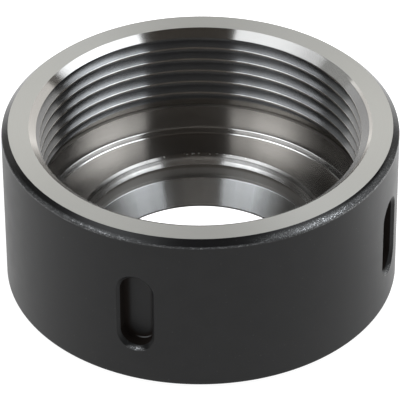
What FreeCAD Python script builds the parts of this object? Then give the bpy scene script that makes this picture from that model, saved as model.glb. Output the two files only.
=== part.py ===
import FreeCAD, Part
import math
import os
import Sketcher

# Collet nut, turned from one bar. Millimetres, +Z up along the nut's axis, origin in the middle of
# the nose face, which is the face with the smaller hole. The threaded mouth looks up.

doc = FreeCAD.newDocument("ColletNut")

# Driving dimensions
sheet = doc.addObject("Spreadsheet::Sheet", "Sizes")

sizes = [
    ("nut_height", 27.5, "nose face to mouth face"),
    ("thread_major_diameter", 50.8, "two inches, at the root of the nut's thread"),
    ("threads_per_inch", 12.0, "pitch of the thread"),
    ("wall_round_thread", 4.6, "from the thread's root to the outside, which is 60 across"),
    ("mouth_bevel_width", 1.0, "bevel round the mouth face, across the face"),
    ("mouth_bevel_drop", 0.95, "the same bevel, down the side"),
    ("nose_bevel_width", 2.15, "bevel round the nose face, across the face"),
    ("nose_bevel_angle", 30.0, "the same bevel, degrees from the nose face"),
    ("nose_bevel_rounding", 0.4, "rounding where that bevel meets the side"),
    ("thread_end_clearance", 0.45, "mouth and relief stand this far outside the thread's root"),
    ("lead_in_angle", 30.0, "lead-in at the mouth, degrees from the mouth face"),
    ("relief_width", 2.4, "runout groove under the thread, up to the thread's crest"),
    ("relief_flank_angle", 60.0, "upper flank of the runout groove, degrees from the axis"),
    ("pilot_length", 4.43, "plain pilot wall between shoulder and runout groove"),
    ("pilot_clearance", 0.05, "pilot wall outside the thread's root"),
    ("corner_ramp_width", 0.95, "ramp between pilot wall and shoulder, across"),
    ("corner_ramp_rise", 0.4, "the same ramp, up the wall"),
    ("lip_thickness", 1.47, "lip that pulls the collet out, up to the shoulder"),
    ("lip_reach", 0.8, "from the collar groove in to the lip's lower, narrowest edge"),
    ("lip_edge_bevel", 0.35, "bevel where the lip meets the shoulder"),
    ("collar_groove_step", 0.656, "groove for the collet's collar, from the cone's top out to its wall"),
    ("collar_groove_width", 2.65, "the same groove, along the axis"),
    ("cone_half_angle", 30.0, "nose cone and lip, degrees from the axis"),
    ("cone_length", 3.8, "nose cone, along the axis"),
    ("nose_hole_diameter", 32.0, "hole through the nose"),
    ("nose_hole_land", 0.3, "straight land of that hole"),
    ("slot_count", 4, "spanner slots round the side"),
    ("slot_width", 5.0, "across a slot, inside its bevel"),
    ("slot_length", 12.5, "along a slot, inside its bevel"),
    ("slot_middle_height", 13.35, "middle of the slots above the nose face"),
    ("slot_depth", 2.6, "floor of a slot below the outside"),
    ("slot_bevel_depth", 0.6, "bevel round a slot's mouth, below the outside"),
    ("slot_floor_rounding", 0.6, "between a slot's wall and floor"),
    ("cutter_overrun", 1.0, "how far a slot's cutter starts outside the nut"),
]
for row, (alias, value, note) in enumerate(sizes, start=1):
    sheet.set(f"A{row}", alias)
    sheet.set(f"B{row}", str(value))
    sheet.set(f"C{row}", note)
    sheet.setAlias(f"B{row}", alias)
doc.recompute()

# Radii and heights that follow from the sizes
root_r = "Sizes.thread_major_diameter / 2"
side_r = f"({root_r} + Sizes.wall_round_thread)"
nose_face_r = f"({side_r} - Sizes.nose_bevel_width)"
crest_r = f"{root_r} - 5 / 16 * sqrt(3) * 25.4 / Sizes.threads_per_inch"
clear_r = f"{root_r} + Sizes.thread_end_clearance"
pilot_r = f"{root_r} + Sizes.pilot_clearance"
hole_r = "Sizes.nose_hole_diameter / 2"
cone_top_r = f"{hole_r} + Sizes.cone_length * tan(Sizes.cone_half_angle)"
groove_r = f"{cone_top_r} + Sizes.collar_groove_step"
throat_r = f"{groove_r} - Sizes.lip_reach"
lip_top_r = f"{throat_r} + (Sizes.lip_thickness - Sizes.lip_edge_bevel) * tan(Sizes.cone_half_angle)"
slot_floor_r = f"{side_r} - Sizes.slot_depth"
slot_bevel_r = f"{side_r} - Sizes.slot_bevel_depth"

nose_bevel_z = "Sizes.nose_bevel_width * tan(Sizes.nose_bevel_angle)"
mouth_z = "Sizes.nut_height"
groove_floor_z = "(Sizes.nose_hole_land + Sizes.cone_length)"
lip_z = f"({groove_floor_z} + Sizes.collar_groove_width)"
shoulder_z = f"({lip_z} + Sizes.lip_thickness)"
pilot_z = f"({shoulder_z} + Sizes.pilot_length)"
relief_z = f"({pilot_z} + Sizes.relief_width)"
relief_flank_z = f"{relief_z} - ({clear_r} - ({crest_r})) / tan(Sizes.relief_flank_angle)"
thread_top_z = f"{mouth_z} - ({clear_r} - ({crest_r})) * tan(Sizes.lead_in_angle)"


def number(expression):
    return float(sheet.evalExpression(expression))


def plane_of(body, role):
    return next(feature for feature in body.Origin.OriginFeatures if feature.Role == role)


def sketch_on(body, name, role):
    sketch = body.newObject("Sketcher::SketchObject", name)
    sketch.AttachmentSupport = [(plane_of(body, role), "")]
    sketch.MapMode = "FlatFace"
    return sketch


def hold(sketch, kind, geometry, point, expression):
    """Fixes one coordinate of a point to an expression, measured from the sketch's origin."""
    if expression == "0":
        axis = -2 if kind == "DistanceX" else -1
        sketch.addConstraint(Sketcher.Constraint("PointOnObject", geometry, point, axis))
        return
    value = number(expression)
    index = sketch.addConstraint(Sketcher.Constraint(kind, -1, 1, geometry, point, value))
    sketch.setExpression(f"Constraints[{index}]", expression)


def draw_profile(sketch, corners):
    """Closed outline through corners given as radius and height."""
    points = [FreeCAD.Vector(number(radius), number(height), 0) for radius, height in corners]
    for start, end in zip(points, points[1:] + points[:1]):
        sketch.addGeometry(Part.LineSegment(start, end), False)
    for line in range(len(corners)):
        following = (line + 1) % len(corners)
        sketch.addConstraint(Sketcher.Constraint("Coincident", line, 2, following, 1))
    for line, (radius, height) in enumerate(corners):
        hold(sketch, "DistanceX", line, 1, radius)
        hold(sketch, "DistanceY", line, 1, height)


def draw_slot(sketch):
    """Upright slot with round ends, centred on the axis at the slots' middle height."""
    half = number("Sizes.slot_width / 2")
    top = number("Sizes.slot_middle_height + (Sizes.slot_length - Sizes.slot_width) / 2")
    bottom = number("Sizes.slot_middle_height - (Sizes.slot_length - Sizes.slot_width) / 2")
    upper = Part.Circle(FreeCAD.Vector(0, top, 0), FreeCAD.Vector(0, 0, 1), half)
    lower = Part.Circle(FreeCAD.Vector(0, bottom, 0), FreeCAD.Vector(0, 0, 1), half)
    sketch.addGeometry(Part.ArcOfCircle(upper, 0, math.pi), False)
    sketch.addGeometry(Part.ArcOfCircle(lower, math.pi, 2 * math.pi), False)
    left = Part.LineSegment(FreeCAD.Vector(-half, top, 0), FreeCAD.Vector(-half, bottom, 0))
    right = Part.LineSegment(FreeCAD.Vector(half, bottom, 0), FreeCAD.Vector(half, top, 0))
    sketch.addGeometry(left, False)
    sketch.addGeometry(right, False)
    for first, end, second, start in ((0, 2, 2, 1), (2, 2, 1, 1), (1, 2, 3, 1), (3, 2, 0, 1)):
        sketch.addConstraint(Sketcher.Constraint("Tangent", first, end, second, start))
    sketch.addConstraint(Sketcher.Constraint("PointOnObject", 0, 3, -2))
    sketch.addConstraint(Sketcher.Constraint("PointOnObject", 1, 3, -2))
    index = sketch.addConstraint(Sketcher.Constraint("Radius", 0, half))
    sketch.setExpression(f"Constraints[{index}]", "Sizes.slot_width / 2")
    half_run = "(Sizes.slot_length - Sizes.slot_width) / 2"
    hold(sketch, "DistanceY", 0, 3, f"Sizes.slot_middle_height + {half_run}")
    hold(sketch, "DistanceY", 1, 3, f"Sizes.slot_middle_height - {half_run}")


nut = doc.addObject("PartDesign::Body", "ColletNut")
nut.Label = "collet_nut"

# Blank: the turned outside, with a rounded bevel at the nose and a crisp one at the mouth
outside = sketch_on(nut, "OutsideProfile", "XZ_Plane")
lift = math.radians(number("Sizes.nose_bevel_angle"))
rounding = number("Sizes.nose_bevel_rounding")
tangent_z = number(nose_bevel_z) + rounding * math.tan((math.pi / 2 - lift) / 2)
ball = Part.Circle(
    FreeCAD.Vector(number(side_r) - rounding, tangent_z, 0), FreeCAD.Vector(0, 0, 1), rounding)
arc = Part.ArcOfCircle(ball, lift - math.pi / 2, 0)
corners = [
    FreeCAD.Vector(0, 0, 0),
    FreeCAD.Vector(number(nose_face_r), 0, 0),
    arc.StartPoint,
    arc.EndPoint,
    FreeCAD.Vector(number(side_r), number(f"{mouth_z} - Sizes.mouth_bevel_drop"), 0),
    FreeCAD.Vector(number(f"{side_r} - Sizes.mouth_bevel_width"), number(mouth_z), 0),
    FreeCAD.Vector(0, number(mouth_z), 0),
]
for line, (start, end) in enumerate(zip(corners, corners[1:] + corners[:1])):
    outside.addGeometry(arc if line == 2 else Part.LineSegment(start, end), False)
for line, joint in enumerate(("Coincident", "Tangent", "Tangent", "Coincident", "Coincident",
                              "Coincident", "Coincident")):
    outside.addConstraint(Sketcher.Constraint(joint, line, 2, (line + 1) % len(corners), 1))
outside.addConstraint(Sketcher.Constraint("Vertical", 3))
index = outside.addConstraint(Sketcher.Constraint("Radius", 2, rounding))
outside.setExpression(f"Constraints[{index}]", "Sizes.nose_bevel_rounding")
index = outside.addConstraint(Sketcher.Constraint("Angle", 1, lift))
outside.setExpression(f"Constraints[{index}]", "Sizes.nose_bevel_angle")
for line, radius, height in (
    (0, "0", "0"),
    (1, nose_face_r, "0"),
    (4, side_r, f"{mouth_z} - Sizes.mouth_bevel_drop"),
    (5, f"{side_r} - Sizes.mouth_bevel_width", mouth_z),
    (6, "0", mouth_z),
):
    hold(outside, "DistanceX", line, 1, radius)
    hold(outside, "DistanceY", line, 1, height)
doc.recompute()
blank = nut.newObject("PartDesign::Revolution", "Blank")
blank.Profile = outside
blank.ReferenceAxis = (outside, ["V_Axis"])
blank.Angle = 360
doc.recompute()

# Bore, from the nose hole up: cone, collar groove, lip, shoulder, pilot, runout groove, the
# thread's crest and the lead-in at the mouth
inside = sketch_on(nut, "BoreProfile", "XZ_Plane")
draw_profile(inside, [
    ("0", "0"),
    (hole_r, "0"),
    (hole_r, "Sizes.nose_hole_land"),
    (cone_top_r, groove_floor_z),
    (groove_r, groove_floor_z),
    (groove_r, lip_z),
    (throat_r, lip_z),
    (lip_top_r, f"{shoulder_z} - Sizes.lip_edge_bevel"),
    (f"{lip_top_r} + Sizes.lip_edge_bevel", shoulder_z),
    (f"{pilot_r} - Sizes.corner_ramp_width", shoulder_z),
    (pilot_r, f"{shoulder_z} + Sizes.corner_ramp_rise"),
    (pilot_r, pilot_z),
    (clear_r, pilot_z),
    (clear_r, relief_flank_z),
    (crest_r, relief_z),
    (crest_r, thread_top_z),
    (clear_r, mouth_z),
    ("0", mouth_z),
])
bore = nut.newObject("PartDesign::Groove", "Bore")
bore.Profile = inside
bore.ReferenceAxis = (inside, ["V_Axis"])
bore.Angle = 360
doc.recompute()


def cut_slot(name, plane_r, taper):
    """Cuts a slot outwards from a plane at this distance from the axis."""
    outline = sketch_on(nut, f"{name}Outline", "XZ_Plane")
    outline.setExpression("AttachmentOffset.Base.z", plane_r)
    draw_slot(outline)
    doc.recompute()
    pocket = nut.newObject("PartDesign::Pocket", name)
    pocket.Profile = outline
    pocket.Reversed = True
    pocket.TaperAngle = taper
    pocket.setExpression("Length", f"{side_r} + Sizes.cutter_overrun - ({plane_r})")
    doc.recompute()
    return pocket


# Spanner slots: a flat-floored slot, and a bevel round its mouth that a countersink leaves
slot = cut_slot("Slot", slot_floor_r, 0)
slot_bevel = cut_slot("SlotBevel", slot_bevel_r, 45)

slots = nut.newObject("PartDesign::PolarPattern", "Slots")
slots.Originals = [slot, slot_bevel]
slots.Axis = (plane_of(nut, "Z_Axis"), [""])
slots.Angle = 360
slots.setExpression("Occurrences", "Sizes.slot_count")
nut.Tip = slots
doc.recompute()


def on_slot_floor(edge):
    """True for an edge that lies in the plane of one slot's floor."""
    count = int(number("Sizes.slot_count"))
    for turn in range(count):
        rotation = FreeCAD.Rotation(FreeCAD.Vector(0, 0, 1), 360 * turn / count)
        outward = rotation.multVec(FreeCAD.Vector(0, -1, 0))
        distances = [point.dot(outward) for point in edge.discretize(5)]
        if all(abs(distance - number(slot_floor_r)) < 1e-4 for distance in distances):
            return True
    return False


floor_names = [
    f"Edge{place}" for place, edge in enumerate(slots.Shape.Edges, start=1) if on_slot_floor(edge)]
floor_rounding = nut.newObject("PartDesign::Fillet", "SlotFloorRounding")
floor_rounding.Base = (slots, floor_names)
floor_rounding.setExpression("Radius", "Sizes.slot_floor_rounding")
nut.Tip = floor_rounding
doc.recompute()

# Every feature has to be sound before anything is written
for item in doc.Objects:
    if "Invalid" in item.State or "Error" in item.State:
        raise RuntimeError(f"{item.Name} is {item.State}")
if nut.Shape.isNull() or not nut.Shape.isValid():
    raise RuntimeError(f"{nut.Label} has no sound shape")

os.makedirs("parts", exist_ok=True)
nut.Shape.exportStep(f"parts/{nut.Label}.step")
box = nut.Shape.BoundBox
print(nut.Label, "solids", len(nut.Shape.Solids), "faces", len(nut.Shape.Faces))
print("size", round(box.XLength, 3), round(box.YLength, 3), round(box.ZLength, 3))
for feature in (blank, bore, slot, slot_bevel, slots, floor_rounding):
    print(feature.Name, "volume", round(feature.Shape.Volume, 2))
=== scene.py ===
import math

import bmesh
import bpy
from mathutils import Matrix, Quaternion, Vector


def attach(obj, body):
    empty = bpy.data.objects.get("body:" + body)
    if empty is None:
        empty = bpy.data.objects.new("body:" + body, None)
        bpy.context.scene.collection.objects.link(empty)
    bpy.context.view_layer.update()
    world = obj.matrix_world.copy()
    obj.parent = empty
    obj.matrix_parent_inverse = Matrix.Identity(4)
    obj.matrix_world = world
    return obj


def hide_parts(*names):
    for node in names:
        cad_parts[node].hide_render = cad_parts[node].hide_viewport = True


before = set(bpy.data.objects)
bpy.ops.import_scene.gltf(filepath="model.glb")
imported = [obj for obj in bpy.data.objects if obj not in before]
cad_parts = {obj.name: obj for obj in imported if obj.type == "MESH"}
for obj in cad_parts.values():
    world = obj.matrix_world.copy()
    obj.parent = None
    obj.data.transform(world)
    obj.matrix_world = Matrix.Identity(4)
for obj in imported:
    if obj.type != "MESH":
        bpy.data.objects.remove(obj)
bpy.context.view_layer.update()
mm = 0.001


class Socket:                       # an output socket, so that shader maths reads as an expression
    def __init__(self, finish, output):
        self.finish = finish
        self.output = output

    def __add__(self, other):
        return self.finish.maths("ADD", self, other)

    __radd__ = __add__

    def __mul__(self, other):
        return self.finish.maths("MULTIPLY", self, other)

    __rmul__ = __mul__

    def __sub__(self, other):
        return self.finish.maths("SUBTRACT", self, other)

    def __rsub__(self, other):
        return self.finish.maths("SUBTRACT", other, self)

    def __pow__(self, power):
        return self.finish.maths("POWER", self, power)

    def smallerOf(self, other):
        return self.finish.maths("MINIMUM", self, other)

    def largerOf(self, other):
        return self.finish.maths("MAXIMUM", self, other)

    def size(self):
        return self.finish.maths("ABSOLUTE", self)


class Finish:                       # one material and its nodes
    def __init__(self, name):
        self.material = bpy.data.materials.new(name)
        self.material.use_nodes = True
        self.tree = self.material.node_tree
        self.tree.nodes.clear()
        self.place = self.node("ShaderNodeTexCoord", output="Object")
        parts = self.node("ShaderNodeSeparateXYZ", sockets={0: self.place}, output=None)
        # millimetres and radians from here on
        self.x, self.y, self.height = (Socket(self, part) * (1 / mm) for part in parts.outputs)
        self.radius = (self.x * self.x + self.y * self.y) ** 0.5
        self.angle = self.maths("ARCTAN2", self.y, self.x)

    def node(self, kind, settings=None, sockets=None, output=0):
        made = self.tree.nodes.new(kind)
        for name, value in (settings or {}).items():
            setattr(made, name, value)
        for name, value in (sockets or {}).items():
            if isinstance(value, Socket):
                self.tree.links.new(value.output, made.inputs[name])
            else:
                made.inputs[name].default_value = value
        return made if output is None else Socket(self, made.outputs[output])

    def maths(self, operation, first, second=0.0):
        return self.node("ShaderNodeMath", {"operation": operation}, {0: first, 1: second})

    def between(self, value, low, high):                 # 0 below low, 1 above high, eased
        return self.node("ShaderNodeMapRange", {"interpolation_type": "SMOOTHSTEP"},
                         {"Value": value, "From Min": low, "From Max": high})

    def past(self, value, edge, soft=0.02):              # 0 before an edge, 1 past it
        return self.between(value, edge - soft, edge + soft)

    def band(self, value, start, offset, half, soft):    # 1 round start + offset, 0 beyond half
        return 1 - self.between((value - (start + offset)).size(), half - soft, half)

    def grain(self, perMm, detail):
        return self.node("ShaderNodeTexNoise", {"noise_dimensions": "3D"},
                         {"Vector": self.place, "Scale": perMm / mm, "Detail": detail,
                          "Roughness": 0.5})

    def lines(self, along, perMm, detail):               # marks that run round, told apart by along
        return self.node("ShaderNodeTexNoise", {"noise_dimensions": "1D"},
                         {"W": along * perMm, "Scale": 1.0, "Detail": detail, "Roughness": 0.6})

    def blend(self, amount, first, second):              # colours
        return self.node("ShaderNodeMix", {"data_type": "RGBA"},
                         {0: amount, 6: first, 7: second}, output=2)

    def shift(self, amount, first, second):              # numbers
        return first + (second - first) * amount

    def shade(self, values):                             # closes the material
        shader = self.node("ShaderNodeBsdfPrincipled", sockets=values)
        self.node("ShaderNodeOutputMaterial", sockets={"Surface": shader}, output=None)
        return self.material


# the nut in millimetres: radii from the axis, heights from the nose face
nut = {
    "outside": 30.0,
    "height": 27.5,
    "mouthBevel": (1.0, 0.95),      # across the face, down the side
    "mouthRoundings": (0.05, 0.45),      # of the bevel's inner and outer edge
    "noseBevel": 2.15,              # across the nose face
    "noseAngle": 30.0,              # degrees from that face
    "noseRounding": 0.4,
    "clear": 25.85,                 # mouth and runout groove
    "root": 25.4,
    "pitch": 25.4 / 12,
    "flankAngle": 30.0,             # degrees, half of the thread's angle
    "crestFlat": 0.265,
    "crestRounding": 0.07,
    "crestTurn": 109.0,             # degrees round, where a crest's lower edge is at crestHeight
    "crestHeight": 20.305,
    "crests": (-4, 6),              # pitches from there: the first crest, and one past the last
    "leadIn": 30.0,                 # degrees from the mouth face
    "threadEnd": 15.05,             # where the groove's sloped side reaches the crest
    "threadEndAngle": 60.0,         # degrees of that side from the axis
    "pilotTop": 12.8,
    "pilot": 25.45,
    "shoulder": 8.22,
    "rampWidth": 0.90,              # small ramp where pilot and shoulder meet
    "rampHeight": 0.4,
    "rampStep": 0.12,
    "throat": 18.05,                # narrowest part of the lip
    "lipUnder": 6.70,
    "lipTop": 18.697,
    "lipBevel": 0.35,
    "lipHollow": (0.39, 0.55, 1.0),      # corner out from the throat, up from lipUnder, rounding
    "grooveWall": 18.85,            # collar groove
    "grooveFloor": 4.1,
    "coneTop": 18.194,
    "hole": 16.0,
    "land": 0.3,                    # straight wall of the hole
    "slots": 4,
    "slotWidth": 5.0,
    "slotLength": 12.5,
    "slotMiddle": 13.35,
    "slotFloor": 27.4,              # how far out
    "slotBevel": 29.4,              # how far out the bevel round the rim begins
    "slotRounding": 0.6,            # round the floor
    "turns": 360,                   # steps round the axis
    "arcStep": 24.0,                # degrees between the points of a small rounding
    "arcFiner": 4.0,                # how much closer they get with each millimetre of its radius
    "sideRows": (3.2, 23.4),        # rows below and above the slots' windows
    "windowColumns": 9,             # steps from a slot's middle to its window's edge
    "windowRows": (8, 7.2, 6.4, 5.7, 5.1, 4.6, 4.15),      # from its middle, past the straight part
    "straightRows": (2.5, 1.25),    # and along it
    "rimShares": (0, 0.4, 0.75, 1),      # rings between the window's edge and the slot's rim
    "floorSteps": 4,                # rings round the floor's rounding
    "floorRing": 1.6,               # the next one, in from the slot's wall
    "weld": 0.002,                  # points nearer than this become one
    "sharpAngle": 25.0,             # degrees: what bends more keeps its edge
}

crest = nut["root"] - 5 / 16 * math.sqrt(3) * nut["pitch"]
leadInSlope = 1 / math.tan(math.radians(nut["leadIn"]))
threadEndSlope = math.tan(math.radians(nut["threadEndAngle"]))
flankBase = nut["threadEnd"] - (nut["clear"] - crest) / threadEndSlope
rampFoot = nut["pilot"] - nut["rampWidth"] - nut["rampStep"]
rimHeight = nut["height"] - nut["mouthBevel"][1]         # lower edge of the mouth bevel

steel = {
    # colours, as what the bare metal reflects
    "bright": (0.46, 0.444, 0.424, 1),
    "dull": (0.40, 0.384, 0.364, 1),
    # painted shade for the runout groove, the pilot's edge and under the lip; also the stain of the
    # cone's stripes
    "shadeAndStain": (0.20, 0.185, 0.165, 1),
    # brighter than the bore's steel: a painted highlight on the ramp
    "ramp": (0.68, 0.67, 0.655, 1),
    "lip": (0.76, 0.75, 0.735, 1),
    "lipEdge": (0.40, 0.393, 0.383, 1),
    # real burrs, painted near white as glints
    "burrGlint": (0.95, 0.94, 0.92, 1),
    # painted shade of the collar groove
    "groove": (0.31, 0.30, 0.285, 1),
    "coneBright": (0.70, 0.71, 0.715, 1),
    "coneDull": (0.58, 0.588, 0.59, 1),
    # the flanks' steel is kept darker than the lead-in's: painted shade of the thread's valleys
    "flankBright": (0.30, 0.303, 0.307, 1),
    "flankDull": (0.245, 0.247, 0.25, 1),
    "crest": (0.55, 0.505, 0.46, 1),
    # brighter than the lead-in's steel: a painted highlight on the crests' rounded edges
    "crestEdge": (0.78, 0.77, 0.75, 1),
    "leadInBright": (0.57, 0.56, 0.545, 1),
    "leadInDull": (0.51, 0.50, 0.485, 1),
    "faceBright": (0.358, 0.3615, 0.3515, 1),
    "faceDull": (0.31, 0.3135, 0.3035, 1),
    # roughness along the turning marks, then how much rougher or smoother some places are
    "boreRoughness": 0.20,
    "coneRoughness": 0.24,
    "flankRoughness": 0.20,
    "crestRoughness": 0.22,
    "crestEdgeRoughness": 0.12,
    "leadInRoughness": 0.14,
    "faceRoughness": 0.36,
    "pilotEdgeRougher": 0.3,
    "rampSmoother": 0.08,
    "burrRougher": 0.5,
    "grooveRougher": 0.2,
    "faceRougher": 0.05,
    # how much rougher each is across the marks, from 0 to 1
    "boreAcross": 0.9,
    "coneAcross": 1.0,
    "threadAcross": 1.0,
    "faceAcross": 0.7,
    # turning marks a millimetre, their detail, strength and height, and the roughness they add
    "boreMarks": 14,
    "threadMarks": 16,
    "faceMarks": 9,
    "markDetail": 3,
    "markDepth": 0.1,
    "coneMarkDepth": 0.02,
    "markHeight": 0.002,
    "markRougher": 0.5,
    "markSlant": 1.37,              # share of the radius, so that floors get marks as walls do
    # broad light and dark: how many a millimetre, or a radian for the stripes, and their detail
    "boreTones": (1.3, 2),
    "coneTones": (1.7, 2),
    "coneStripes": (9, 2),
    # shares of painted shade, of stain and of oil film
    "grooveShade": 0.5,
    "pilotEdgeShade": 0.6,
    "stripeStain": 0.3,
    "collarFilm": 0.2,
    "threadFilm": 0.1,
    # places: middle from the edge they belong to, half width and softness, or else the two ends
    "pilotEdge": (0.02, 0.08, 0.05),
    "rampBand": (0.3, 0.32, 0.05),
    "burrBand": (-0.06, 0.14, 0.08),
    "burrTurn": (2.0, 0.7, 0.2),    # radians round
    "burrGrain": (2.6, 1),
    "burrLevel": (0.62, 0.68),
    "lipFade": 0.3,                 # below the lip's edge, where the painted shade fades in
    "collarWall": (0.05, 0.1),      # out from the cone's top
    "underLip": (5.4, 5.8),         # heights where the painted shade under the lip comes in
    "crestEdgeBand": (0.3, 0.3, 0.06),      # in crest roundings
    "leadInEdge": -0.04,            # from the mouth
}


# bare steel with marks that run round; an oil film takes its share of the metal's shine
def turned(finish, along, perMm, colour, roughness, across, film=0.0, depth=steel["markDepth"]):
    fine = finish.lines(along, perMm, steel["markDetail"])
    bump = finish.node("ShaderNodeBump", sockets={"Strength": depth, "Height": fine,
                                                  "Distance": steel["markHeight"] * mm})
    # a quarter turn lays the stretched highlights along the marks
    return finish.shade({"Base Color": colour, "Metallic": 1.0 - film, "Normal": bump,
                         "Roughness": roughness + steel["markRougher"] * depth * fine,
                         "Anisotropic": across, "Anisotropic Rotation": 0.25})


def boreSteel():                    # runout groove, pilot bore and shoulder
    finish = Finish("turned_bore")
    profile = finish.height + finish.radius * steel["markSlant"]
    tones = finish.lines(profile, *steel["boreTones"])
    colour = finish.blend(tones, steel["dull"], steel["bright"])
    # painted shade: the runout groove above the pilot is darkened
    inGroove = finish.past(finish.height, nut["pilotTop"])
    colour = finish.blend(steel["grooveShade"] * inGroove, colour, steel["shadeAndStain"])
    # painted shade: a dark line where the pilot meets the runout groove
    pilotEdge = finish.band(finish.height, nut["pilotTop"], *steel["pilotEdge"])
    colour = finish.blend(steel["pilotEdgeShade"] * pilotEdge, colour, steel["shadeAndStain"])
    # painted highlight: a brighter band up the ramp
    onRamp = finish.band(finish.height, nut["shoulder"], *steel["rampBand"])
    onRamp = onRamp * finish.past(finish.radius, rampFoot)
    colour = finish.blend(onRamp, colour, steel["ramp"])
    roughness = steel["boreRoughness"] + steel["pilotEdgeRougher"] * pilotEdge
    roughness = roughness - steel["rampSmoother"] * onRamp
    return turned(finish, profile, steel["boreMarks"], colour, roughness, steel["boreAcross"])


def coneSteel():                    # lip, collar groove and cone
    finish = Finish("turned_cone")
    tones = finish.lines(finish.height, *steel["coneTones"])
    colour = finish.blend(tones, steel["coneDull"], steel["coneBright"])
    onLip = finish.past(finish.height, nut["lipUnder"])
    # painted shade: the lip darkens towards its top edge
    lipEdge = nut["shoulder"] - nut["lipBevel"]
    nearEdge = finish.between(finish.height, lipEdge - steel["lipFade"], lipEdge)
    colour = finish.blend(onLip, colour, finish.blend(nearEdge, steel["lip"], steel["lipEdge"]))
    wallStart, wallEnd = (nut["coneTop"] + end for end in steel["collarWall"])
    inGroove = finish.between(finish.radius, wallStart, wallEnd) * (1 - onLip)
    # painted shade: the collar groove is darker, and darker still just under the lip
    underLip = finish.between(finish.height, *steel["underLip"])
    groove = finish.blend(underLip, steel["groove"], steel["shadeAndStain"])
    colour = finish.blend(inGroove, colour, groove)
    stripes = finish.lines(finish.angle, *steel["coneStripes"])
    colour = finish.blend(steel["stripeStain"] * stripes, colour, steel["shadeAndStain"])
    # real burrs on the lip's edge, painted near white as glints
    burrs = finish.between(finish.grain(*steel["burrGrain"]), *steel["burrLevel"])
    burrs = burrs * finish.band(finish.height, nut["shoulder"], *steel["burrBand"])
    burrs = burrs * finish.band(finish.angle, 0, *steel["burrTurn"])
    colour = finish.blend(burrs, colour, steel["burrGlint"])
    roughness = steel["coneRoughness"] + steel["burrRougher"] * burrs
    roughness = roughness + steel["grooveRougher"] * inGroove
    return turned(finish, finish.height, steel["boreMarks"], colour, roughness, steel["coneAcross"],
                  steel["collarFilm"] * inGroove, steel["coneMarkDepth"])


def threadSteel():                  # crests, flanks and the lead-in above them
    finish = Finish("thread_steel")
    middle, half, soft = (share * nut["crestRounding"] for share in steel["crestEdgeBand"])
    onCrest = 1 - finish.between(finish.radius, crest, crest + soft)
    onEdge = finish.band(finish.radius, crest, middle, half, soft)
    leadInHeight = finish.height + (nut["clear"] - finish.radius) * (1 / leadInSlope)
    onLeadIn = finish.past(leadInHeight, nut["height"] + steel["leadInEdge"])
    roughness = finish.shift(onCrest, steel["flankRoughness"], steel["crestRoughness"])
    roughness = finish.shift(onEdge, roughness, steel["crestEdgeRoughness"])
    roughness = finish.shift(onLeadIn, roughness, steel["leadInRoughness"])
    fine = finish.lines(finish.radius, steel["threadMarks"], steel["markDetail"])
    leadIn = finish.blend(fine, steel["leadInDull"], steel["leadInBright"])
    # painted shade: the flanks are darker steel than the lead-in
    colour = finish.blend(fine, steel["flankDull"], steel["flankBright"])
    colour = finish.blend(onCrest, colour, steel["crest"])
    # painted highlight: brighter steel on the crests' rounded edges
    colour = finish.blend(onEdge, colour, steel["crestEdge"])
    colour = finish.blend(onLeadIn, colour, leadIn)
    film = steel["threadFilm"] * (1 - onLeadIn) * (1 - onEdge) * (1 - onCrest)
    return turned(finish, finish.radius, steel["threadMarks"], colour, roughness,
                  steel["threadAcross"], film)


def faceSteel():
    finish = Finish("turned_face")
    fine = finish.lines(finish.radius, steel["faceMarks"], steel["markDetail"])
    colour = finish.blend(fine, steel["faceDull"], steel["faceBright"])
    roughness = steel["faceRoughness"] + steel["faceRougher"] * fine
    return turned(finish, finish.radius, steel["faceMarks"], colour, roughness, steel["faceAcross"])


black = {
    "light": (0.0128, 0.0128, 0.013, 1),
    "dark": (0.007, 0.007, 0.0072, 1),
    # painted shade inside the slots
    "slotShade": (0.009, 0.0056, 0.004, 1),
    # bare metal of the wear; the same colour paints the highlight on each slot's foot arc
    "wearAndArcHighlight": (0.42, 0.425, 0.43, 1),
    "ior": 1.3,
    "roughness": 0.36,
    "wornRoughness": 0.27,
    "cloudRougher": 0.08,
    "slotShadeRougher": 0.5,
    "bevelSmoother": 0.15,
    "bumpStrength": 0.3,
    "bumpHeight": 0.006,
    # grains: how many a millimetre and their detail, then the two levels a mask runs between
    "cloud": (0.35, 3),
    "tooth": (5.0, 2),
    "patch": (1.3, 3),
    "patchLevel": (0.3, 0.62),
    "speck": (6.5, 2),
    "speckLevel": (0.5, 0.64),
    "nick": (3.1, 1),
    "nickLevel": (0.72, 0.8),
    # places round a slot: from the line up its middle, from its bevel, below its middle
    "slotOutline": (2.6, 2.7),
    "slotDepth": (-0.15, -0.05),
    "slotShadeFade": (1.3, 2.2),
    "footArc": (2.32, 0.08, 0.05),  # painted highlight round each slot's foot: middle, half width and softness, as the glint
    "footArcBelow": (5.2, 5.8),
    "footArcSide": (-0.12, 0.05),   # sine that tells a slot's right half from its left
    "glint": (2.85, 0.35, 0.25),
    "glintBelow": (6.2, 6.6),
    "bevelFade": (-1.3, -1.0),      # from the mouth face
    # rubbed places on the mouth bevel: radians round, and then up from the rim, each as
    # middle, half width and softness, and how much of the black has gone
    "rubbed": [((-0.43, 0.62, 0.45), (0.2, 0.6, 0.45), 0.8),
               ((-1.96, 0.54, 0.42), (0.08, 0.42, 0.34), 0.62)],
    "rimLine": (-0.02, 0.2, 0.15),  # the whole way round
    "rimLineWear": 0.4,
    "glintWear": 0.8,
    # strength of the painted highlight on each slot's foot arc
    "footArcHighlight": 0.4,
    "nickWear": 0.05,
    "evenWear": 0.17,               # share of a rubbed place that has worn evenly
    "speckWear": 1.3,
    "besidePatches": 0.3,           # strength of the specks outside the patches
}


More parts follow.
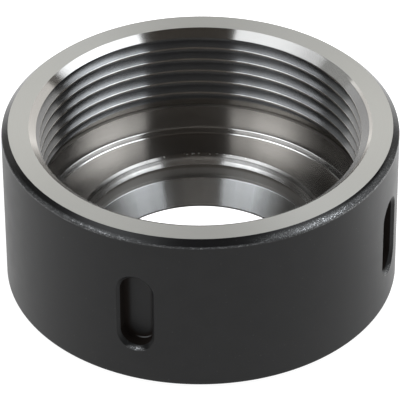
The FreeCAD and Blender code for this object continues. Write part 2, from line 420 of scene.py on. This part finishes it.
def blackened():
    finish = Finish("blackened_steel")
    cloud = finish.grain(*black["cloud"])
    colour = finish.blend(cloud, black["dark"], black["light"])
    roughness = black["roughness"] + black["cloudRougher"] * cloud

    # every slot alike: across it, how far out, and up or down past its straight part
    across = finish.x.size().smallerOf(finish.y.size())
    out = finish.x.size().largerOf(finish.y.size())
    run = (finish.height - nut["slotMiddle"]).size() - (nut["slotLength"] - nut["slotWidth"]) / 2
    fromSpine = (across * across + run.largerOf(0) ** 2) ** 0.5
    below = nut["slotMiddle"] - finish.height
    depthStart, depthEnd = (nut["slotBevel"] + end for end in black["slotDepth"])
    inSlot = 1 - finish.between(out, depthStart, depthEnd)
    inSlot = inSlot * (1 - finish.between(fromSpine, *black["slotOutline"]))
    # painted shade: each slot darkens away from the middle of its floor, towards its walls
    slotShade = inSlot * finish.between(fromSpine, *black["slotShadeFade"])
    colour = finish.blend(slotShade, colour, black["slotShade"])
    roughness = roughness + black["slotShadeRougher"] * slotShade
    wave = finish.maths("SINE", nut["slots"] * finish.angle)
    # painted highlight: a thin bright arc in the right half of each slot's foot
    footArc = inSlot * finish.between(wave, *black["footArcSide"])
    footArc = footArc * finish.band(fromSpine, 0, *black["footArc"])
    footArc = footArc * finish.between(below, *black["footArcBelow"])

    # wear, down to bare metal, and the painted highlight on each slot's foot arc
    glint = finish.band(fromSpine, 0, *black["glint"]) * finish.between(below, *black["glintBelow"])
    rimLine = finish.band(finish.height, rimHeight, *black["rimLine"])
    rubbed = (black["glintWear"] * glint).largerOf(black["rimLineWear"] * rimLine)
    for turn, rise, wear in black["rubbed"]:
        place = finish.band(finish.angle, 0, *turn) * finish.band(finish.height, rimHeight, *rise)
        rubbed = rubbed.largerOf(wear * place)
    patches = finish.between(finish.grain(*black["patch"]), *black["patchLevel"])
    specks = finish.between(finish.grain(*black["speck"]), *black["speckLevel"])
    nicks = finish.between(finish.grain(*black["nick"]), *black["nickLevel"])
    specks = black["speckWear"] * specks * finish.shift(patches, black["besidePatches"], 1)
    wearAndArcHighlight = rubbed * (black["evenWear"] + specks) + black["nickWear"] * nicks
    # the foot arc's painted highlight joins the wear as bare metal
    wearAndArcHighlight = wearAndArcHighlight.largerOf(black["footArcHighlight"] * footArc)
    colour = finish.blend(wearAndArcHighlight, colour, black["wearAndArcHighlight"])
    bevelStart, bevelEnd = (nut["height"] + end for end in black["bevelFade"])
    onBevel = finish.between(finish.height, bevelStart, bevelEnd)
    roughness = roughness - black["bevelSmoother"] * onBevel
    roughness = finish.shift(wearAndArcHighlight, roughness, black["wornRoughness"])
    bump = finish.node("ShaderNodeBump", sockets={"Strength": black["bumpStrength"],
                                                  "Distance": black["bumpHeight"] * mm,
                                                  "Height": finish.grain(*black["tooth"]) - wearAndArcHighlight})
    return finish.shade({"Base Color": colour, "Metallic": wearAndArcHighlight, "Normal": bump,
                         "Roughness": roughness, "IOR": black["ior"]})


finishes = {"bore": boreSteel(), "cone": coneSteel(), "thread": threadSteel(), "face": faceSteel(),
            "black": blackened()}
print("finishes made")


class Skin:                         # points and faces of one piece in millimetres
    def __init__(self):
        self.points = []
        self.faces = []
        self.finishes = []          # place of each face's finish among the finishes

    def sheet(self, rows, finish, closed=False):         # quads between neighbouring rows
        start = len(self.points)
        width = len(rows[0])
        place = list(finishes).index(finish)
        for row in rows:
            self.points.extend(row)
        for r in range(len(rows) - 1):
            for c in range(width if closed else width - 1):
                a = start + r * width + c
                b = start + r * width + (c + 1) % width
                self.faces.append((a, b, b + width, a + width))
                self.finishes.append(place)


def rounded(corners):               # corners are radius, height and how far it is rounded
    line = []
    for place, (radius, height, rounding) in enumerate(corners):
        corner = Vector((radius, height))
        if rounding == 0:
            line.append(corner)
            continue
        back = (Vector(corners[place - 1][:2]) - corner).normalized()
        ahead = (Vector(corners[place + 1][:2]) - corner).normalized()
        half = back.angle(ahead) / 2
        middle = corner + (back + ahead).normalized() * rounding / math.sin(half)
        start = corner + back * rounding / math.tan(half) - middle
        turn = math.pi - 2 * half
        side = 1 if back.x * ahead.y - back.y * ahead.x < 0 else -1
        steps = math.ceil(math.degrees(turn) * (1 + nut["arcFiner"] * rounding) / nut["arcStep"])
        for step in range(steps + 1):
            line.append(middle + Matrix.Rotation(side * turn * step / steps, 2) @ start)
    return line


def arc(radius, height, steps, turns):      # points round the axis
    angles = [2 * math.pi * step / turns for step in steps]
    return [(radius * math.cos(angle), radius * math.sin(angle), height) for angle in angles]


def rings(line):                    # the whole way round, one ring for each point of a section
    return [arc(p.x, p.y, range(nut["turns"]), nut["turns"]) for p in line]


def threadLine():                   # the thread's section, one crest after another
    flank = (nut["root"] - crest) * math.tan(math.radians(nut["flankAngle"]))
    rootFlat = nut["pitch"] - 2 * flank - nut["crestFlat"]
    corners = []
    for k in range(*nut["crests"]):
        low = nut["crestHeight"] + k * nut["pitch"]
        corners += [(nut["root"], low - flank - rootFlat, 0),
                    (nut["root"], low - flank, 0),
                    (crest, low, nut["crestRounding"]),
                    (crest, low + nut["crestFlat"], nut["crestRounding"])]
    corners.append((nut["root"], corners[-1][1] + flank, 0))
    return rounded(corners)


def cutLine(line, turn):            # the section at one angle, between runout groove and lead-in
    lift = nut["pitch"] * (turn - nut["crestTurn"]) / 360
    top = nut["height"] - (nut["clear"] - crest) / leadInSlope
    inLeadIn = [p.x - crest - (p.y + lift - top) * leadInSlope for p in line]
    inGroove = [p.x - crest - (nut["threadEnd"] - p.y - lift) * threadEndSlope for p in line]
    first = next(i for i, depth in enumerate(inGroove) if depth > 0)
    last = next(i for i, depth in enumerate(inLeadIn) if depth < 0) - 1

    def crossing(i, j, depth):
        return line[i].lerp(line[j], depth[i] / (depth[i] - depth[j]))

    low = crossing(first, first - 1, inGroove)
    high = crossing(last, last + 1, inLeadIn)
    # points that are cut off gather at the ends, so that every section has as many
    section = [low if i < first else high if i > last else p for i, p in enumerate(line)]
    section = [Vector((p.x, p.y + lift)) for p in section]
    return [Vector((nut["clear"], flankBase))] + section + [Vector((nut["clear"], nut["height"]))]


nutSkin = Skin()
section = threadLine()
columns = []
for step in range(nut["turns"] + 1):
    degrees = 360 * step / nut["turns"]
    c, s = math.cos(math.radians(degrees)), math.sin(math.radians(degrees))
    columns.append([(p.x * c, p.x * s, p.y) for p in cutLine(section, degrees)])
nutSkin.sheet(columns, "thread")

# mouth face and the bevel round it; the last corner only points down the side
bevelX, bevelZ = nut["mouthBevel"]
innerRounding, outerRounding = nut["mouthRoundings"]
mouth = rounded([
    (nut["clear"], nut["height"], 0),
    (nut["outside"] - bevelX, nut["height"], innerRounding),
    (nut["outside"], nut["height"] - bevelZ, outerRounding),
    (nut["outside"], nut["height"] - bevelZ - 1, 0),
])
sideTop = mouth[-2].y
rows = rings(mouth)
nutSkin.sheet(rows[:3], "face", closed=True)
nutSkin.sheet(rows[2:-1], "black", closed=True)

# bore under the thread, and the nose; the last corner only points up the side
hollowX, hollowZ, hollowRounding = nut["lipHollow"]
noseZ = nut["noseBevel"] * math.tan(math.radians(nut["noseAngle"]))
bore = rounded([
    (nut["clear"], flankBase, 0),
    (nut["clear"], nut["pilotTop"], 0),
    (nut["pilot"], nut["pilotTop"], 0.03),
    (nut["pilot"], nut["shoulder"] + nut["rampHeight"], 0.2),
    (nut["pilot"] - nut["rampWidth"], nut["shoulder"] + nut["rampStep"], 0.03),
    (rampFoot, nut["shoulder"], 0.03),
    (nut["lipTop"] + nut["lipBevel"], nut["shoulder"], 0.04),
    (nut["lipTop"], nut["shoulder"] - nut["lipBevel"], 0.04),
    (nut["throat"] + hollowX, nut["lipUnder"] + hollowZ, hollowRounding),
    (nut["throat"], nut["lipUnder"], 0.03),
    (nut["grooveWall"], nut["lipUnder"], 0.1),
    (nut["grooveWall"], nut["grooveFloor"], 0.15),
    (nut["coneTop"], nut["grooveFloor"], 0.12),
    (nut["hole"], nut["land"], 0.05),
    (nut["hole"], 0, 0.06),
    (nut["outside"] - nut["noseBevel"], 0, 0.1),
    (nut["outside"], noseZ, nut["noseRounding"]),
    (nut["outside"], noseZ + 2, 0),
])
sideLow = bore[-2].y
# the finish changes on the lip's rounded edge, and where the nose face begins
lipRow = next(i for i, p in enumerate(bore) if p.y < nut["shoulder"] - 0.005)
noseRow = next(i for i, p in enumerate(bore) if p.y < 1e-6)
rows = rings(bore)
nutSkin.sheet(rows[:lipRow + 1], "bore", closed=True)
nutSkin.sheet(rows[lipRow:noseRow + 1], "cone", closed=True)
nutSkin.sheet(rows[noseRow:-1], "black", closed=True)

# side, in rows that fit the slots, with a window left for each slot
halfRun = (nut["slotLength"] - nut["slotWidth"]) / 2
halfRows = [*nut["windowRows"], halfRun, *nut["straightRows"]]
windowRows = [-v for v in halfRows] + [0] + halfRows[::-1]
rowBelow, rowAbove = nut["sideRows"]
levels = [sideLow, rowBelow] + [nut["slotMiddle"] + v for v in windowRows] + [rowAbove, sideTop]
perSlot = nut["turns"] // nut["slots"]
firstSlot = nut["turns"] * 3 // 4                        # one slot faces -Y
for lower, upper in zip(levels, levels[1:]):
    inWindow = abs((lower + upper) / 2 - nut["slotMiddle"]) < windowRows[-1]
    gap = nut["windowColumns"] if inWindow else 0
    for k in range(nut["slots"]):
        steps = range(firstSlot + k * perSlot + gap, firstSlot + (k + 1) * perSlot - gap + 1)
        rows = [arc(nut["outside"], z, steps, nut["turns"]) for z in (lower, upper)]
        nutSkin.sheet(rows, "black")


def slotRings():                    # from the window's edge in to the floor: across, out, up
    columns = nut["windowColumns"]
    turn = 2 * math.pi / nut["turns"]
    edge = [(i * turn, windowRows[0]) for i in range(-columns, columns)]
    edge += [(columns * turn, v) for v in windowRows[:-1]]
    edge += [(i * turn, windowRows[-1]) for i in range(columns, -columns, -1)]
    edge += [(-columns * turn, v) for v in reversed(windowRows[1:])]
    half = nut["slotWidth"] / 2
    spine = [max(-halfRun, min(halfRun, v)) for _, v in edge]
    normals = [Vector((nut["outside"] * a, v - s)).normalized() for (a, v), s in zip(edge, spine)]

    def outline(offset, out):
        return [((half + offset) * n.x, out, s + (half + offset) * n.y)
                for n, s in zip(normals, spine)]

    rim = []                        # where the slot's bevel, at 45 degrees, meets the round side
    for n, s in zip(normals, spine):
        x0 = half * n.x
        a = n.x ** 2 + 1
        b = 2 * (x0 * n.x + nut["slotBevel"])
        c = x0 ** 2 + nut["slotBevel"] ** 2 - nut["outside"] ** 2
        d = (-b + math.sqrt(b * b - 4 * a * c)) / (2 * a)
        rim.append((x0 + d * n.x, nut["slotBevel"] + d, s + (half + d) * n.y))
    rows = []
    for share in nut["rimShares"]:
        row = []
        for (a, v), (x, out, z) in zip(edge, rim):
            angle = a + (math.atan2(x, out) - a) * share
            row.append((nut["outside"] * math.sin(angle), nut["outside"] * math.cos(angle),
                        v + (z - v) * share))
        rows.append(row)
    rows.append(outline(0, nut["slotBevel"]))
    rounding = nut["slotRounding"]
    for step in range(nut["floorSteps"] + 1):
        dip = math.pi / 2 * step / nut["floorSteps"]
        rows.append(outline(-rounding * (1 - math.cos(dip)),
                            nut["slotFloor"] + rounding * (1 - math.sin(dip))))
    rows.append(outline(-nut["floorRing"], nut["slotFloor"]))
    rows.append(outline(-half, nut["slotFloor"]))
    return rows


slot = slotRings()
for k in range(nut["slots"]):
    radians = 2 * math.pi * k / nut["slots"]
    c, s = math.cos(radians), math.sin(radians)
    rows = [[(x * c + out * s, x * s - out * c, z + nut["slotMiddle"]) for x, out, z in row]
            for row in slot]
    nutSkin.sheet(rows, "black", closed=True)


def makePiece(name, skin):
    mesh = bpy.data.meshes.new(name)
    mesh.from_pydata([[value * mm for value in point] for point in skin.points], [], skin.faces)
    for finish in finishes.values():
        mesh.materials.append(finish)
    for face, finish in zip(mesh.polygons, skin.finishes):
        face.material_index = finish
        face.use_smooth = True
    shape = bmesh.new()
    shape.from_mesh(mesh)
    bmesh.ops.remove_doubles(shape, verts=shape.verts, dist=nut["weld"] * mm)
    bmesh.ops.recalc_face_normals(shape, faces=shape.faces)
    sharp = math.radians(nut["sharpAngle"])
    for edge in shape.edges:
        edge.smooth = len(edge.link_faces) == 2 and edge.calc_face_angle() < sharp
    print(name, "faces", len(shape.faces),
          "open edges", sum(len(edge.link_faces) != 2 for edge in shape.edges),
          "triangles", sum(len(face.verts) - 2 for face in shape.faces))
    shape.to_mesh(mesh)
    shape.free()
    piece = bpy.data.objects.new(name, mesh)
    bpy.context.scene.collection.objects.link(piece)
    evenNormals = piece.modifiers.new("even_normals", "WEIGHTED_NORMAL")
    evenNormals.keep_sharp = True
    return piece


nutPiece = makePiece("nut", nutSkin)
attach(nutPiece, "root")
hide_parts("collet_nut")
print("nut made")


# metres unless it says otherwise
studio = {
    "viewAzimuth": 19.0,            # the camera's side, in degrees round from -Y
    "floorSize": 8.0,
    "floorTurns": 96,
    "floorRoughness": 0.8,
    "underNut": 27.0,               # radius of the patch within the nut's foot, millimetres
    "tableColour": (0.2, 0.2, 0.2),
    "tableGlow": 0.96,
    "tableGlowRight": 1.5,          # behind the nut on the right, where the stronger box lights it
    "glowAside": 150.0,             # degrees to the camera's right, as below
    "glowFade": (4, 32),            # millimetres that way from the axis
    "paperColour": (0.8, 0.8, 0.8),
    "paperGlow": 1.1,
    "worldColour": (1, 0.88, 0.76, 1),
    "worldStrength": 0.05,
    "panelDistance": 1.2,
    # degrees to the camera's right and up, half width and half height as seen from the nut and
    # lean, all in degrees too, then brightness and colour
    "panels": {
        "right_box": (78.6, 49.2, 16.5, 36.5, -52, 2.3, (0.92, 0.96, 1.0)),
        "right_core": (80, 46, 8, 28, -52, 1.0, (0.92, 0.96, 1.0)),
        "left_box": (-58.4, 49.7, 18.5, 34.5, 42, 1.85, (0.93, 0.965, 1.0)),
        "left_core": (-55, 42, 9, 22, 37, 1.2, (0.93, 0.965, 1.0)),
        "left_spill": (-125, 43, 12, 12, 0, 0.36, (0.94, 0.985, 1.0)),
        "back_panel": (180, 30, 54, 20, 0, 0.8, (1.0, 0.985, 0.96)),
        "back_glow": (180, 36, 25, 23, 0, 0.88, (1.0, 0.985, 0.96)),
    },
}


def direction(aside, above):        # degrees to the camera's right, and up from the floor
    azimuth = math.radians(studio["viewAzimuth"] + aside)
    elevation = math.radians(above)
    return Vector((math.sin(azimuth) * math.cos(elevation),
                   -math.cos(azimuth) * math.cos(elevation), math.sin(elevation)))


def makeFloor(name, rows, colour, glow, glowRight):      # a disc, or the floor between two rings
    finish = Finish(name)
    toward = direction(studio["glowAside"], 0)
    distance = finish.x * toward.x + finish.y * toward.y
    glowing = finish.blend(finish.between(distance, *studio["glowFade"]),
                           (glow, glow, glow, 1), (glowRight, glowRight, glowRight, 1))
    shown = finish.shade({"Base Color": (*colour, 1), "Roughness": studio["floorRoughness"],
                          "Emission Strength": 1.0, "Emission Color": glowing})
    width = len(rows[0])
    if len(rows) > 1:
        faces = [(i, (i + 1) % width, (i + 1) % width + width, i + width) for i in range(width)]
    else:
        faces = [range(width)]
    mesh = bpy.data.meshes.new(name)
    mesh.from_pydata([point for row in rows for point in row], [], faces)
    mesh.materials.append(shown)
    floor = bpy.data.objects.new(name, mesh)
    bpy.context.scene.collection.objects.link(floor)
    return floor


turns = studio["floorTurns"]
underNut = arc(studio["underNut"] * mm, 0, range(turns), turns)
farEdge = arc(studio["floorSize"], 0, range(turns), turns)
makeFloor("table", [underNut, farEdge], studio["tableColour"], studio["tableGlow"],
          studio["tableGlowRight"])
paper = makeFloor("paper_under_hole", [underNut], studio["paperColour"], studio["paperGlow"],
                  studio["paperGlow"])
paper.visible_glossy = False        # white to the eye, but the bore does not mirror it

world = bpy.data.worlds.new("studio")
bpy.context.scene.world = world
world.use_nodes = True
world.node_tree.nodes["Background"].inputs["Color"].default_value = studio["worldColour"]
world.node_tree.nodes["Background"].inputs["Strength"].default_value = studio["worldStrength"]

for name, panel in studio["panels"].items():
    aside, above, halfWidth, halfHeight, lean, brightness, colour = panel
    light = bpy.data.lights.new(name, "AREA")
    light.shape = "RECTANGLE"
    light.size = 2 * studio["panelDistance"] * math.tan(math.radians(halfWidth))
    light.size_y = 2 * studio["panelDistance"] * math.tan(math.radians(halfHeight))
    light.energy = brightness * math.pi * light.size * light.size_y
    light.color = colour
    lamp = bpy.data.objects.new(name, light)
    bpy.context.scene.collection.objects.link(lamp)
    toward = direction(aside, above)
    lamp.location = toward * studio["panelDistance"]
    facing = toward.to_track_quat("Z", "Y") @ Quaternion((0, 0, 1), math.radians(lean))
    lamp.rotation_euler = facing.to_euler()
    lamp.visible_camera = False

# metres and degrees, the lens and its sensor in millimetres
view = {
    "elevation": 36.49,
    "distance": 0.5417,
    "aimHeight": 0.013054,
    "aimAside": -0.000125,
    "roll": -0.33,
    "lens": 318.93,
    "sensor": 36,
    "clipStart": 0.01,
}
cameraData = bpy.data.cameras.new("camera")
cameraData.lens = view["lens"]
cameraData.sensor_width = view["sensor"]
cameraData.clip_start = view["clipStart"]
camera = bpy.data.objects.new("camera", cameraData)
bpy.context.scene.collection.objects.link(camera)
onAxis = Vector((0, 0, view["aimHeight"]))
camera.location = direction(0, view["elevation"]) * view["distance"] + onAxis
aim = onAxis + direction(90, 0) * view["aimAside"]
sight = (aim - camera.location).normalized()
right = sight.cross(Vector((0, 0, 1))).normalized()
up = right.cross(sight)
roll = math.radians(view["roll"])
acrossAxis = right * math.cos(roll) + up * math.sin(roll)
upAxis = up * math.cos(roll) - right * math.sin(roll)
camera.rotation_euler = Matrix((acrossAxis, upAxis, -sight)).transposed().to_euler()
bpy.context.scene.camera = camera
bpy.context.scene.view_settings.view_transform = "Standard"
print("floor, lights and camera made")
